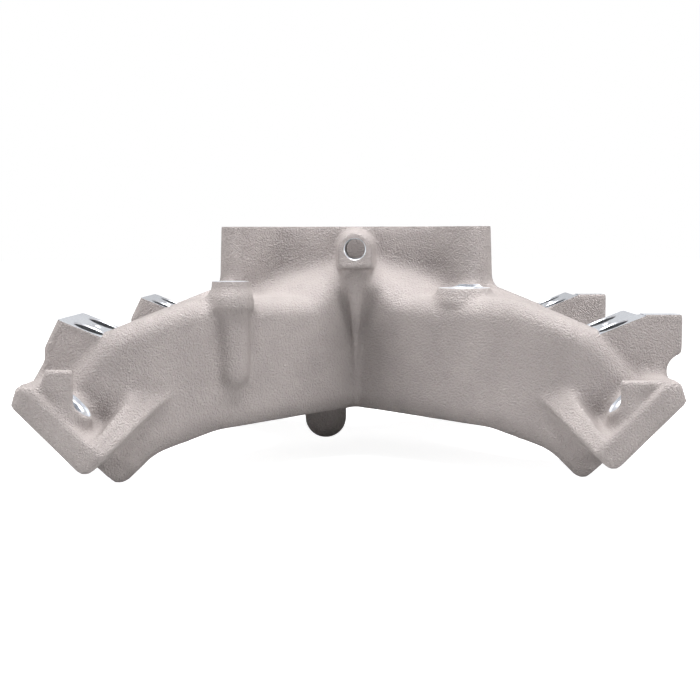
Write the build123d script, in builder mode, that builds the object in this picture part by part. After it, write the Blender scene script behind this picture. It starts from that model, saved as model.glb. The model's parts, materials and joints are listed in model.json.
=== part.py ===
from build123d import *
import os
from math import atan2, cos, radians, sin, sqrt, tan

# Single-plane, four-barrel intake manifold for a ninety-degree V8, in millimetres.
# The origin is the centre of the carburettor stud pattern on the machined top face. +Z is up,
# the crankshaft lies along Y with the front of the engine at -Y, and +X is the right bank.
# The real manifold is one aluminium casting. Each solid below is one of its natural sections,
# and neighbouring sections meet face to face without overlapping.

os.makedirs("parts", exist_ok=True)

# ---------------------------------------------------------------- carburettor pad and shoulder
stud_spacing_x = 142.9
stud_spacing_y = 131.1
stud_hole_diameter = 8.0
stud_hole_depth = 20.0
pad_width = 167.4
pad_length = 153.0
pad_corner_radius = 10.5
pad_height = 25.5
pad_recess_mouth = 140.0
pad_recess_floor = 94.0
pad_recess_y = 60.0
throttle_opening_x = 92.0
throttle_opening_y = 96.0
throttle_corner_radius = 22.0
throttle_well_depth = 49.0
shoulder_top_x = 84.0
shoulder_top_y = 122.0
shoulder_base_x = 119.0
shoulder_base_y = 180.0
shoulder_corner_radius = 12.0

# ---------------------------------------------------------------- plenum and runner walls
plenum_half_width = 60.0
seam_y = 72.0
plenum_roof_z = -42.0
seam_floor_z = -113.0
floor_knee = (80.0, -118.5)
wall = 6.0
plenum_end_wall = 7.5
knee_radius = 40.0
outer_knee_x = 122.8
divider_knee_x = 116.0
inner_knee_x = 112.0
divider_seam_y = 12.0
roof_knee_x = 134.0
roof_starts = {"outer": (93.0, -42.0), "inner": (84.0, -36.5)}
roof_bend_radius = 20.0
floor_bend_radius = 28.0
floor_bend_reach = 170.3

# ---------------------------------------------------------------- cylinder heads
# Points beside a head are given as "rise" up its forty-five degree face and "reach" from the
# crankshaft centre plane along the face's normal.
mating_reach = 192.3
flange_thickness = 14.7
port_floor_rise = -11.0
port_roof_rise = 54.5
flange_top_rise = 58.2
bank_stagger = 9.7
port_pair_y = 122.0
port_pair_half = 39.0
port_window_y = 30.0
port_divider_half = 4.0
port_corner_radius = 6.0
port_side_wall = port_pair_half - port_divider_half - port_window_y

# ---------------------------------------------------------------- head bolts
bolt_hole_diameter = 10.3
bolt_boss_diameter = 22.0
bolt_boss_height = 6.2
bolt_rise = 37.0
end_bolt_y = 178.0
inner_bolt_y = 68.0
rail_bottom_rise = 23.0
rail_top_rise = 51.0

# ---------------------------------------------------------------- end lugs
lug_outer_y = 195.3
lug_bottom_rise = 5.0
lug_top_z = -83.1
lug_top_outer_x = 174.6
lug_corner_radius = 6.0
rib_thickness = 9.0
rib_inner_reach = 137.0
gusset_inner_y = 187.3
gusset_outer_y = 192.3
gusset_end_x = 168.0
gussets = {
    "right": ((144.0, lug_top_z), (gusset_end_x, lug_top_z)),
    "left": ((146.3, -75.4), (160.5, -75.4), (163.0, lug_top_z), (gusset_end_x, lug_top_z)),
}

# ---------------------------------------------------------------- injector pads
injector_pad_length = 63.0
injector_tilt = 22.0
pad_crest = (162.6, -51.1)
pad_shoulder = (170.1, -66.0)
pad_waist = (170.2, -73.2)
pad_foot = (178.2, -87.1)
injector_spacing = 38.0
injector_x = 147.5
injector_bore_diameter = 14.2
injector_bore_depth = 24.0
injector_seat_diameter = 17.8
injector_seat_depth = 4.0
injector_tip_diameter = 7.0
injector_tip_depth = 44.0
rail_screw_diameter = 5.1
rail_screw_depth = 14.0

# ---------------------------------------------------------------- bracket posts, right bank
post_top_z = -50.1
post_outer_x = 184.6
post_bottom_z = -71.6
post_foot = (176.2, -83.0)
post_length = 16.0
post_inner_x = 163.1
scallop_depth = 2.0

# ---------------------------------------------------------------- bosses
vacuum_boss_face_y = -92.0
vacuum_boss_z = -13.7
vacuum_boss_radius = 10.2
vacuum_hole_diameter = 12.2
vacuum_hole_start_y = -65.0
sensor_post_centre = (-71.0, -126.0)
sensor_post_top_z = -31.6
sensor_post_diameter = 19.4
sensor_post_base_diameter = 27.0
sensor_post_neck = (12.0, -62.0)
sensor_post_flare_z = -50.0
sensor_post_foot = (10.5, -86.0)
sensor_post_tip_z = -92.0
pipe_boss_centre = (65.4, -92.0)
pipe_boss_top_z = -36.9
pipe_boss_diameter = 32.6
pipe_hole_diameter = 18.5
pipe_hole_bottom_z = -50.0
pipe_boss_bottom_z = -43.0
pipe_patch_end_x = 82.0
pipe_patch_length = 30.6
underside_boss_centre = (-20.4, -35.0)
underside_boss_bottom_z = -136.6
underside_boss_diameter = 26.8
seam_rib_width = 9.0
seam_rib_tip_width = 4.5
seam_rib_upper = ((-86.0, -25.5), (-82.0, -50.0), (-79.0, -62.0))
seam_rib_lower = ((-79.0, -62.0), (-76.0, -90.0), (-73.5, -111.0))

# ---------------------------------------------------------------- shared helpers
overrun = 20.0
cavity_overrun = 1.0
half_length = 230.0
ends = ((-1, "front"), (1, "rear"))
opposite_end = {"front": "rear", "rear": "front"}


def beside_head(rise, reach):
    """X and Z of a point given by its rise up the right head face and its reach along the normal."""
    return ((reach + rise) / sqrt(2), (rise - reach) / sqrt(2))


def head_plane(reach):
    """Plane parallel to the right head face: local x is Y, local y is the rise."""
    origin_x = reach / sqrt(2)
    return Plane(origin=(origin_x, 0, -origin_x), x_dir=(0, 1, 0), z_dir=(1, 0, -1))


def wall_line(seam, port_y, knee_x, shift=0.0):
    """Plan line of a runner wall: slanting from the centre plane, then square to the head."""
    lean = atan2(port_y - seam, knee_x)
    side = 1 if port_y > 0 else -1
    slope = tan(lean)
    start_y = seam + side * shift / cos(lean)
    turned_x = knee_x - shift * tan(abs(lean) / 2)
    near_x = plenum_half_width - overrun
    return [
        (near_x, start_y + slope * near_x),
        (turned_x, port_y + side * shift),
        (mating_reach + overrun, port_y + side * shift),
    ]


def plan_between(line_a, line_b, radius):
    """Plan face between two runner wall lines, with a rounded knee in each."""
    with BuildSketch() as plan:
        with BuildLine():
            side_a = FilletPolyline(*line_a, radius=radius)
            side_b = FilletPolyline(*line_b, radius=radius)
            Line(side_a @ 0, side_b @ 0)
            Line(side_a @ 1, side_b @ 1)
        make_face()
    return plan.sketch


def arch_face(place, start_x, end_reach):
    """Side elevation of a right-hand runner, drawn with X across and Z up."""
    roof_start = roof_starts[place]
    roof_knee = (roof_knee_x, port_roof_rise * sqrt(2) - roof_knee_x)
    floor_start_z = seam_floor_z + (floor_knee[1] - seam_floor_z) * start_x / floor_knee[0]
    floor_bend = beside_head(port_floor_rise, floor_bend_reach)
    roof_end = beside_head(port_roof_rise, end_reach)
    floor_end = beside_head(port_floor_rise, end_reach)
    with BuildSketch() as elevation:
        with BuildLine():
            roof_points = ((start_x, roof_start[1]), roof_start, roof_knee, roof_end)
            floor_points = ((start_x, floor_start_z), floor_knee, floor_bend, floor_end)
            roof = FilletPolyline(*roof_points, radius=roof_bend_radius)
            floor = FilletPolyline(*floor_points, radius=floor_bend_radius)
            Line(roof @ 0, floor @ 0)
            Line(roof @ 1, floor @ 1)
        make_face()
    return elevation.sketch


def export_piece(piece, name):
    """Label one finished section and write its STEP file."""
    piece.part.label = name
    export_step(piece.part, f"parts/{name}.step")


def export_opposite(piece, name):
    """Write the same section turned half a turn about Z, for the left bank."""
    with BuildPart() as turned:
        add(piece.part, rotation=(0, 0, 180))
    export_piece(turned, name)


# ---------------------------------------------------------------- shared solids
runner_bodies = {}
runner_bores = {}
for place in roof_starts:
    with BuildPart() as runner_body:
        with BuildSketch(Plane.XZ):
            add(arch_face(place, plenum_half_width, mating_reach - flange_thickness))
        extrude(amount=half_length, both=True)
    runner_bodies[place] = runner_body.part
    with BuildPart() as runner_bore:
        with BuildSketch(Plane.XZ):
            add(arch_face(place, plenum_half_width - overrun, mating_reach + overrun))
            offset(amount=-wall, kind=Kind.INTERSECTION)
        extrude(amount=half_length, both=True)
    runner_bores[place] = runner_bore.part

with BuildPart() as throttle_well:
    with BuildSketch(Plane.XY):
        RectangleRounded(throttle_opening_x, throttle_opening_y, throttle_corner_radius)
    extrude(amount=-throttle_well_depth)

with BuildPart() as pipe_hole:
    with BuildSketch(Plane.XY.offset(pipe_boss_top_z)):
        with Locations(pipe_boss_centre):
            Circle(pipe_hole_diameter / 2)
    extrude(amount=pipe_hole_bottom_z - pipe_boss_top_z)

with BuildPart() as pipe_patch:
    # The pipe boss takes this patch of roof from the runner, so that the runner has no round hole.
    with BuildSketch(Plane.XY.offset(plenum_roof_z)):
        with Locations(((plenum_half_width + pipe_patch_end_x) / 2, pipe_boss_centre[1])):
            Rectangle(pipe_patch_end_x - plenum_half_width, pipe_patch_length)
    extrude(amount=-wall)

with BuildSketch() as pad_outline:
    RectangleRounded(pad_width, pad_length, pad_corner_radius)
    for side in (-1, 1):
        with BuildLine():
            Polyline(
                (-pad_recess_mouth / 2, side * pad_length / 2),
                (-pad_recess_floor / 2, side * pad_recess_y),
                (pad_recess_floor / 2, side * pad_recess_y),
                (pad_recess_mouth / 2, side * pad_length / 2),
                close=True,
            )
        make_face(mode=Mode.SUBTRACT)


def pair_y(end):
    """Y of the middle of a right-hand pair of ports."""
    return end * port_pair_y + bank_stagger


def outer_line(end, shift=0.0):
    return wall_line(end * seam_y, pair_y(end) + end * port_pair_half, outer_knee_x, shift)


def divider_line(end, shift=0.0):
    return wall_line(-end * divider_seam_y, pair_y(end), divider_knee_x, shift)


def inner_line(end, shift=0.0):
    return wall_line(-end * seam_y, pair_y(end) - end * port_pair_half, inner_knee_x, shift)


with BuildPart() as injector_bores:
    # Cutters for every injector in the right bank, each entering square to its tilted pad.
    crest_drop = (pad_crest[0] - injector_x) * tan(radians(injector_tilt))
    for end, end_name in ends:
        for offset_y in (-injector_spacing / 2, 0, injector_spacing / 2):
            mouth = Plane(
                origin=(injector_x, pair_y(end) + offset_y, pad_crest[1] - crest_drop),
                x_dir=(0, 1, 0),
                z_dir=(-sin(radians(injector_tilt)), 0, cos(radians(injector_tilt))),
            )
            if offset_y == 0:
                steps = ((rail_screw_diameter, rail_screw_depth),)
            else:
                steps = (
                    (injector_seat_diameter, injector_seat_depth),
                    (injector_bore_diameter, injector_bore_depth),
                    (injector_tip_diameter, injector_tip_depth),
                )
            for diameter, depth in steps:
                with BuildSketch(mouth):
                    Circle(diameter / 2)
                extrude(amount=-depth)

# ---------------------------------------------------------------- injector pad blocks
# Each pad takes the roof of the two ports below it, so that every injector bore lies in one piece.
face_slope = tan(radians(injector_tilt))
crease_sum = port_roof_rise * sqrt(2)
crease_x = (crease_sum - pad_crest[1] + face_slope * pad_crest[0]) / (1 + face_slope)
crease_reach = sqrt(2) * crease_x - port_roof_rise
pad_profile = (
    (crease_x, crease_sum - crease_x),
    pad_crest,
    pad_shoulder,
    pad_waist,
    pad_foot,
    beside_head(flange_top_rise, mating_reach),
    beside_head(flange_top_rise, mating_reach - flange_thickness),
    beside_head(port_roof_rise - wall, mating_reach - flange_thickness),
    beside_head(port_roof_rise - wall, crease_reach),
)
pad_blocks = {}
for end, end_name in ends:
    with BuildPart() as pad_block:
        with BuildSketch(Plane.XZ.offset(-pair_y(end))):
            with BuildLine():
                Polyline(*pad_profile, close=True)
            make_face()
        extrude(amount=injector_pad_length / 2, both=True)
    pad_blocks[end_name] = pad_block.part

# ---------------------------------------------------------------- carburettor flange
with BuildPart() as carburettor_flange:
    with BuildSketch():
        add(pad_outline.sketch)
    extrude(amount=-pad_height)
    add(throttle_well.part, mode=Mode.SUBTRACT)
    with Locations(Plane.XY):
        with GridLocations(stud_spacing_x, stud_spacing_y, 2, 2):
            Hole(stud_hole_diameter / 2, stud_hole_depth)
    with BuildSketch(Plane.XZ.offset(-vacuum_hole_start_y)):
        with Locations((0, vacuum_boss_z)):
            Circle(vacuum_hole_diameter / 2)
    extrude(amount=vacuum_hole_start_y, mode=Mode.SUBTRACT)
export_piece(carburettor_flange, "carburettor_flange")

# ---------------------------------------------------------------- plenum
corners = []
for bank, end in ((1, 1), (-1, 1), (-1, -1), (1, -1)):
    # The left bank is the right bank turned half a turn, so its front wall is the right's rear one.
    knee = outer_line(end * bank)[1]
    lean_slope = (knee[1] - end * bank * seam_y) / knee[0]
    corners.append((bank * plenum_half_width, end * seam_y + bank * lean_slope * plenum_half_width))
floor_slope = (floor_knee[1] - seam_floor_z) / floor_knee[0]
plenum_edge_z = seam_floor_z + floor_slope * plenum_half_width


def plenum_block(plan_inset, height_inset, side_overrun):
    """Upright block between the V-shaped end walls, over the ridged floor and under the flat roof."""
    with BuildPart() as block:
        with BuildSketch():
            with BuildLine():
                Polyline(
                    (corners[0][0] + side_overrun, corners[0][1] - plan_inset),
                    (0, seam_y - plan_inset),
                    (corners[1][0] - side_overrun, corners[1][1] - plan_inset),
                    (corners[2][0] - side_overrun, corners[2][1] + plan_inset),
                    (0, -seam_y + plan_inset),
                    (corners[3][0] + side_overrun, corners[3][1] + plan_inset),
                    close=True,
                )
            make_face()
        extrude(amount=half_length, both=True)
        with BuildSketch(Plane.XZ):
            with BuildLine():
                edge_x = plenum_half_width + side_overrun
                Polyline(
                    (-edge_x, plenum_roof_z - height_inset),
                    (-edge_x, plenum_edge_z + height_inset),
                    (0, seam_floor_z + height_inset),
                    (edge_x, plenum_edge_z + height_inset),
                    (edge_x, plenum_roof_z - height_inset),
                    close=True,
                )
            make_face()
        extrude(amount=half_length, both=True, mode=Mode.INTERSECT)
    return block.part


plenum_envelope = plenum_block(0, 0, 0)
plenum_cavity = plenum_block(plenum_end_wall, wall, cavity_overrun)

with BuildPart() as plenum_chamber:
    add(plenum_envelope)
    add(plenum_cavity, mode=Mode.SUBTRACT)
    add(throttle_well.part, mode=Mode.SUBTRACT)
    add(pipe_hole.part, mode=Mode.SUBTRACT)
export_piece(plenum_chamber, "plenum_chamber")

# ---------------------------------------------------------------- runners, four on each bank
runner_envelopes = {}
for end, end_name in ends:
    walls = (
        ("outer", outer_line(end), divider_line(end), outer_line(end, -port_side_wall),
         divider_line(end, port_divider_half)),
        ("inner", divider_line(end), inner_line(end), divider_line(end, -port_divider_half),
         inner_line(end, port_side_wall)),
    )
    for place, line_a, line_b, bore_a, bore_b in walls:
        with BuildPart() as envelope:
            with BuildSketch():
                add(plan_between(line_a, line_b, knee_radius))
            extrude(amount=half_length, both=True)
            add(runner_bodies[place], mode=Mode.INTERSECT)
        with BuildPart() as passage:
            with BuildSketch():
                add(plan_between(bore_a, bore_b, knee_radius))
            extrude(amount=half_length, both=True)
            add(runner_bores[place], mode=Mode.INTERSECT)
        with BuildPart() as runner:
            add(envelope.part)
            add(passage.part, mode=Mode.SUBTRACT)
            add(pad_blocks[end_name], mode=Mode.SUBTRACT)
        export_opposite(runner, f"runner_left_{opposite_end[end_name]}_{place}")
        with BuildPart() as right_runner:
            add(runner.part)
            add(pipe_patch.part, mode=Mode.SUBTRACT)
        export_piece(right_runner, f"runner_right_{end_name}_{place}")
        runner_envelopes["right", end_name, place] = envelope.part
        runner_envelopes["left", opposite_end[end_name], place] = envelope.part.rotate(Axis.Z, 180)

# ---------------------------------------------------------------- shoulder between plenum and carburettor flange
with BuildPart() as plenum_shoulder:
    with BuildSketch(Plane.XY.offset(-pad_height)):
        RectangleRounded(shoulder_top_x, shoulder_top_y, shoulder_corner_radius)
    with BuildSketch(Plane.XY.offset(plenum_roof_z)):
        RectangleRounded(shoulder_base_x, shoulder_base_y, shoulder_corner_radius)
    loft()
    with BuildSketch():
        with BuildLine():
            Polyline(
                *corners[:1], (0, seam_y), *corners[1:3], (0, -seam_y), *corners[3:], close=True,
            )
        make_face()
    extrude(amount=half_length, both=True, mode=Mode.INTERSECT)
    with BuildSketch(Plane.XY.offset(plenum_roof_z)):
        add(pad_outline.sketch)
    extrude(amount=-plenum_roof_z - pad_height)
    add(throttle_well.part, mode=Mode.SUBTRACT)
    for envelope in runner_envelopes.values():
        add(envelope, mode=Mode.SUBTRACT)
export_piece(plenum_shoulder, "plenum_shoulder")

# ---------------------------------------------------------------- head flanges
window_rise = (port_floor_rise + port_roof_rise) / 2
window_height = port_roof_rise - port_floor_rise - 2 * wall
window_offset = port_divider_half + port_window_y / 2

for end, end_name in ends:
    with BuildPart() as head_flange:
        with BuildSketch(head_plane(mating_reach)):
            with Locations((pair_y(end), (port_floor_rise + flange_top_rise) / 2)):
                Rectangle(2 * port_pair_half, flange_top_rise - port_floor_rise)
            with Locations((pair_y(end), window_rise)):
                with GridLocations(2 * window_offset, 1, 2, 1):
                    RectangleRounded(port_window_y, window_height, port_corner_radius, mode=Mode.SUBTRACT)
        extrude(amount=-flange_thickness)
        add(injector_bores.part, mode=Mode.SUBTRACT)
    export_piece(head_flange, f"head_flange_right_{end_name}")
    export_opposite(head_flange, f"head_flange_left_{opposite_end[end_name]}")

# ---------------------------------------------------------------- rails between the head flanges, with the inner bolts
with BuildPart() as head_rail:
    with BuildSketch(head_plane(mating_reach)):
        with Locations((bank_stagger, (rail_bottom_rise + rail_top_rise) / 2)):
            Rectangle(2 * (port_pair_y - port_pair_half), rail_top_rise - rail_bottom_rise)
    extrude(amount=-flange_thickness)
    with BuildSketch(head_plane(mating_reach - flange_thickness)):
        for end, end_name in ends:
            with Locations((end * inner_bolt_y + bank_stagger, bolt_rise)):
                Circle(bolt_boss_diameter / 2)
    extrude(amount=-bolt_boss_height)
    with Locations(head_plane(mating_reach)):
        for end, end_name in ends:
            with Locations((end * inner_bolt_y + bank_stagger, bolt_rise)):
                Hole(bolt_hole_diameter / 2)
export_piece(head_rail, "head_rail_right")
export_opposite(head_rail, "head_rail_left")

# ---------------------------------------------------------------- injector pads
for end, end_name in ends:
    with BuildPart() as injector_pad:
        add(pad_blocks[end_name])
        add(injector_bores.part, mode=Mode.SUBTRACT)
    export_piece(injector_pad, f"injector_pad_right_{end_name}")
    export_opposite(injector_pad, f"injector_pad_left_{opposite_end[end_name]}")

# ---------------------------------------------------------------- bracket posts, right bank only
for end, end_name in ends:
    near_y = pair_y(end) - injector_pad_length / 2
    with BuildPart() as bracket_post:
        with BuildSketch(Plane.XZ.offset(-near_y)):
            with BuildLine():
                Polyline(
                    post_foot, pad_waist, pad_shoulder, pad_crest,
                    (post_inner_x, post_top_z), (post_outer_x, post_top_z), (post_outer_x, post_bottom_z),
                )
                scallop_middle = (
                    (post_outer_x + post_foot[0]) / 2 - scallop_depth,
                    (post_bottom_z + post_foot[1]) / 2 + scallop_depth,
                )
                ThreePointArc((post_outer_x, post_bottom_z), scallop_middle, post_foot)
            make_face()
        extrude(amount=-post_length)
    export_piece(bracket_post, f"bracket_post_right_{end_name}")

# ---------------------------------------------------------------- end lugs with their head bolts
inner_face_sum = (mating_reach - flange_thickness) * sqrt(2)


def end_lug(end, end_name, gusset_top):
    """One bolt lug at an end of the right bank: plate, sloping rib, gusset, bolt boss and hole."""
    side_y = end * (port_pair_y + port_pair_half) + bank_stagger
    outer_y = end * lug_outer_y + bank_stagger
    with BuildPart() as lug:
        with BuildSketch(Plane.XZ.offset(-side_y)) as plate:
            with BuildLine():
                Polyline(
                    beside_head(lug_bottom_rise, mating_reach),
                    beside_head(flange_top_rise, mating_reach),
                    (lug_top_outer_x, lug_top_z),
                    (inner_face_sum + lug_top_z, lug_top_z),
                    beside_head(lug_bottom_rise, mating_reach - flange_thickness),
                    close=True,
                )
            make_face()
            fillet(plate.vertices().sort_by(Axis.Y)[0], radius=lug_corner_radius)
        extrude(amount=side_y - outer_y)
        with BuildSketch(Plane.XZ.offset(-end * gusset_inner_y - bank_stagger)):
            with BuildLine():
                Polyline(*gusset_top, (gusset_top[0][0], gusset_top[0][0] - inner_face_sum), close=True)
            make_face()
        extrude(amount=end * (gusset_inner_y - gusset_outer_y))
        rib_plane = Plane(
            origin=(lug_bottom_rise / sqrt(2), 0, lug_bottom_rise / sqrt(2)),
            x_dir=(1, 0, -1),
            z_dir=(1, 0, 1),
        )
        plate_reach = mating_reach - flange_thickness
        rib_slope = (outer_y - side_y) / (plate_reach - rib_inner_reach)
        with BuildSketch(rib_plane):
            with BuildLine():
                Polyline(
                    (plate_reach, outer_y),
                    (rib_inner_reach - overrun, side_y - rib_slope * overrun),
                    (plate_reach, side_y),
                    close=True,
                )
            make_face()
        extrude(amount=rib_thickness)
        add(runner_envelopes["right", end_name, "outer"], mode=Mode.SUBTRACT)
        with BuildSketch(head_plane(plate_reach)):
            with Locations((end * end_bolt_y + bank_stagger, bolt_rise)):
                Circle(bolt_boss_diameter / 2)
        extrude(amount=-bolt_boss_height)
        with Locations(head_plane(mating_reach)):
            with Locations((end * end_bolt_y + bank_stagger, bolt_rise)):
                Hole(bolt_hole_diameter / 2)
    return lug


for end, end_name in ends:
    export_piece(end_lug(end, end_name, gussets["right"]), f"end_lug_right_{end_name}")
    export_opposite(end_lug(end, end_name, gussets["left"]), f"end_lug_left_{opposite_end[end_name]}")

# ---------------------------------------------------------------- vacuum boss
with BuildPart() as vacuum_boss:
    with BuildSketch(Plane.XZ.offset(-vacuum_boss_face_y)):
        with Locations((0, vacuum_boss_z)):
            Circle(vacuum_boss_radius)
        with Locations((0, (vacuum_boss_z - pad_height) / 2)):
            Rectangle(2 * vacuum_boss_radius, vacuum_boss_z + pad_height)
        with Locations((0, vacuum_boss_z)):
            Circle(vacuum_hole_diameter / 2, mode=Mode.SUBTRACT)
    extrude(amount=vacuum_boss_face_y + pad_recess_y)
export_piece(vacuum_boss, "vacuum_boss")

# ---------------------------------------------------------------- rib down the front seam
with BuildPart() as seam_rib:
    with BuildSketch(Plane.YZ):
        with BuildLine():
            Polyline(
                (-pad_recess_y, seam_rib_upper[0][1]),
                *seam_rib_upper,
                (-pad_recess_y, seam_rib_upper[-1][1]),
                close=True,
            )
        make_face()
    extrude(amount=seam_rib_width / 2, both=True)
    with BuildSketch(Plane.YZ):
        with BuildLine():
            Polyline(
                (-pad_recess_y, seam_rib_lower[0][1]),
                *seam_rib_lower,
                (-pad_recess_y, seam_rib_lower[-1][1]),
                close=True,
            )
        make_face()
    extrude(amount=seam_rib_tip_width / 2, both=True)
    add(plenum_shoulder.part, mode=Mode.SUBTRACT)
    add(plenum_envelope, mode=Mode.SUBTRACT)
export_piece(seam_rib, "front_seam_rib")

# ---------------------------------------------------------------- sensor post on the left front runner
with BuildPart() as sensor_post:
    with BuildSketch(Plane.XZ.offset(-sensor_post_centre[1])):
        with BuildLine():
            axis_x = sensor_post_centre[0]
            Polyline(
                (axis_x, sensor_post_top_z),
                (axis_x + sensor_post_diameter / 2, sensor_post_top_z),
                (axis_x + sensor_post_base_diameter / 2, sensor_post_flare_z),
                (axis_x + sensor_post_neck[0], sensor_post_neck[1]),
                (axis_x + sensor_post_foot[0], sensor_post_foot[1]),
                (axis_x, sensor_post_tip_z),
                close=True,
            )
        make_face()
    revolve(axis=Axis((axis_x, sensor_post_centre[1], 0), (0, 0, 1)))
    add(runner_envelopes["left", "front", "outer"], mode=Mode.SUBTRACT)
    add(plenum_envelope, mode=Mode.SUBTRACT)
export_piece(sensor_post, "sensor_post")

# ---------------------------------------------------------------- pipe boss on the right front runner
with BuildPart() as pipe_boss:
    with BuildSketch(Plane.XY.offset(pipe_boss_top_z)):
        with Locations(pipe_boss_centre):
            Circle(pipe_boss_diameter / 2)
    extrude(amount=pipe_boss_bottom_z - pipe_boss_top_z)
    add(plenum_shoulder.part, mode=Mode.SUBTRACT)
    add(plenum_envelope, mode=Mode.SUBTRACT)
    add(runner_envelopes["right", "front", "outer"], mode=Mode.SUBTRACT)
    add(pipe_patch.part)
    add(pipe_hole.part, mode=Mode.SUBTRACT)
export_piece(pipe_boss, "pipe_boss")

# ---------------------------------------------------------------- blind boss under the plenum
with BuildPart() as underside_boss:
    radius = underside_boss_diameter / 2
    with Locations((*underside_boss_centre, underside_boss_bottom_z + radius)):
        Sphere(radius)
    with BuildSketch(Plane.XY.offset(underside_boss_bottom_z + radius)):
        with Locations(underside_boss_centre):
            Circle(radius)
    extrude(amount=radius)
    add(plenum_envelope, mode=Mode.SUBTRACT)
export_piece(underside_boss, "underside_boss")
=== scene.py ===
import json
import math

import bpy
import numpy as np
import openvdb
from mathutils import Matrix, Vector


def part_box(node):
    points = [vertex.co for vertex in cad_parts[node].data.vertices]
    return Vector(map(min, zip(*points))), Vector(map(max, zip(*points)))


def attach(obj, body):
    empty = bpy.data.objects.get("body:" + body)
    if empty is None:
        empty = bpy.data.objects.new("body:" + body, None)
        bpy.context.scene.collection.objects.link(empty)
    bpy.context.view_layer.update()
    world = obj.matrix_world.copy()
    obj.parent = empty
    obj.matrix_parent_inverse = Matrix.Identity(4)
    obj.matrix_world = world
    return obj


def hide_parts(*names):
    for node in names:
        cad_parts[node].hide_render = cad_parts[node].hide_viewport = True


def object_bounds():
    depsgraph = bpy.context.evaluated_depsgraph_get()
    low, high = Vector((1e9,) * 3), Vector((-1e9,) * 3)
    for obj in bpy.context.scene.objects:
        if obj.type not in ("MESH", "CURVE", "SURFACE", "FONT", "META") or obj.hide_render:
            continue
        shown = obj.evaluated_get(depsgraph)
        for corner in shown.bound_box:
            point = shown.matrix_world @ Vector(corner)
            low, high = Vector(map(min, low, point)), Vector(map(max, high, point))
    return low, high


# Intake manifold. The raw casting is made as a distance field in millimetres, in the row frame,
# so that its sections flow into each other with foundry fillets. Its machined faces, bores and
# ports are then cut with exact solids, and the result is divided into one piece per CAD node.

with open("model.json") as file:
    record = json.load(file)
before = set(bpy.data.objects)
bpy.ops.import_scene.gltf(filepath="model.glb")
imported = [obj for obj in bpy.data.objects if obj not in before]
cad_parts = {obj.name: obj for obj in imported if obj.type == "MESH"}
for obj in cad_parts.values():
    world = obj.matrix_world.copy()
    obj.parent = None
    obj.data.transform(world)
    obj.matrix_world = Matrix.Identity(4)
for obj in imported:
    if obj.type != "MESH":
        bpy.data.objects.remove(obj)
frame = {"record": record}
cad_low, cad_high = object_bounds()
record = frame["record"]
ROOT2 = math.sqrt(2)


# ------------------------------------------------------------------ dimensions from the frame
def box_mm(node):
    low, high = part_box(node)
    return low * 1000, high * 1000


def mount(name):
    """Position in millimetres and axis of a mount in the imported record."""
    found = next(m for m in record["mounts"] if m["name"] == name)
    return Vector(found["pos_m"]) * 1000, Vector(found["axis"]), found.get("dims", {})


pad_high = box_mm("carburettor_flange")[1]
face_point = mount("head_face_right")[0]
REACH = (face_point.x - face_point.z) / ROOT2
STAGGER = face_point.y
PAIR_Y = (mount("rail_screw_right_rear")[0].y - mount("rail_screw_right_front")[0].y) / 2
lug_high = box_mm("end_lug_right_rear")[1]
LUG_FRONT = lug_high.y - STAGGER
boss_low, boss_high = box_mm("vacuum_boss")
sensor_top = box_mm("sensor_post")[1].z
pipe_low, pipe_high = box_mm("pipe_boss")
under_low, under_high = box_mm("underside_boss")
post_high = box_mm("bracket_post_right_front")[1]

# ------------------------------------------------------------------ the casting's own lines
PAIR_HALF = 39.0
WALL_KNEE = 40.0
SEAM_Y = 72.0
DIVIDER_SEAM_Y = 12.0
PLENUM_HALF = 60.0
OUTER_KNEE_X, DIVIDER_KNEE_X, INNER_KNEE_X = 122.8, 116.0, 112.0
FLOOR_RISE, ROOF_RISE, FLANGE_RISE = -11.0, 54.5, 58.2
FLANGE_THICK = 14.7
INNER_FACE = REACH - FLANGE_THICK
RAIL_LOW, RAIL_HIGH = 23.0, 51.0
SEAM_FLOOR, KNEE_FLOOR = -113.0, (80.0, -118.5)
ROOF_KNEE_X = 134.0
OUTER_ROOF, INNER_ROOF = (93.0, -42.0), (84.0, -36.5)
SHOULDER_SLOPE_X, SHOULDER_SLOPE_Y = 0.227, 0.667
RECESS_DEPTH = 16.5  # the riser's front and back step in by this much between its corner columns
WALL = 6.0
END_WALL = 7.5
DIVIDER_HALF = 4.0
LUG_TOP = -83.1
LUG_DEPTH = LUG_FRONT - PAIR_Y - PAIR_HALF
LUG_RIB_REACH = 151.0
WEB_SET_BACK, WEB_THICK = 4.5, 6.0
BOLT_RISE, BOLT_SEAT_REACH = 37.0, 171.4
END_BOLT_Y, INNER_BOLT_Y = 178.0, 68.0
BOLT_R, SPOT_R = 5.15, 9.8
PAD_HALF = 31.5
PAD_TILT = math.radians(22.0)
CREST = (162.6, -51.1)
crease_x = (ROOF_RISE * ROOT2 - CREST[1] + math.tan(PAD_TILT) * CREST[0]) / (1 + math.tan(PAD_TILT))
CREASE = (crease_x, ROOF_RISE * ROOT2 - crease_x)
POST_STEP, POST_LENGTH = 0.5, 16.0
RIB_BACK = -62.0     # the saddle, ridge and rib on the front seam start inside the wall
STOCK = 2.5          # raw metal left on each face that is machined afterwards
SEAT_STOCK = 1.0     # and on the round seats and bosses
# Below this depth a hole takes the darkened machined metal: painted shade.
BRIGHT_DEPTH = 0.55  # a hole is bright down to here and darker below
STUD_X, STUD_Y = 71.45, 65.55

VOXEL = 1.25


def beside_head(rise, reach):
    """X and Z of a point given by its rise up the right head face and its reach along the normal."""
    return ((reach + rise) / ROOT2, (rise - reach) / ROOT2)


def above_pad(point, height):
    """A point in side view, lifted square to the face of the injector pads."""
    return (point[0] - height * math.sin(PAD_TILT), point[1] + height * math.cos(PAD_TILT))


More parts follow.
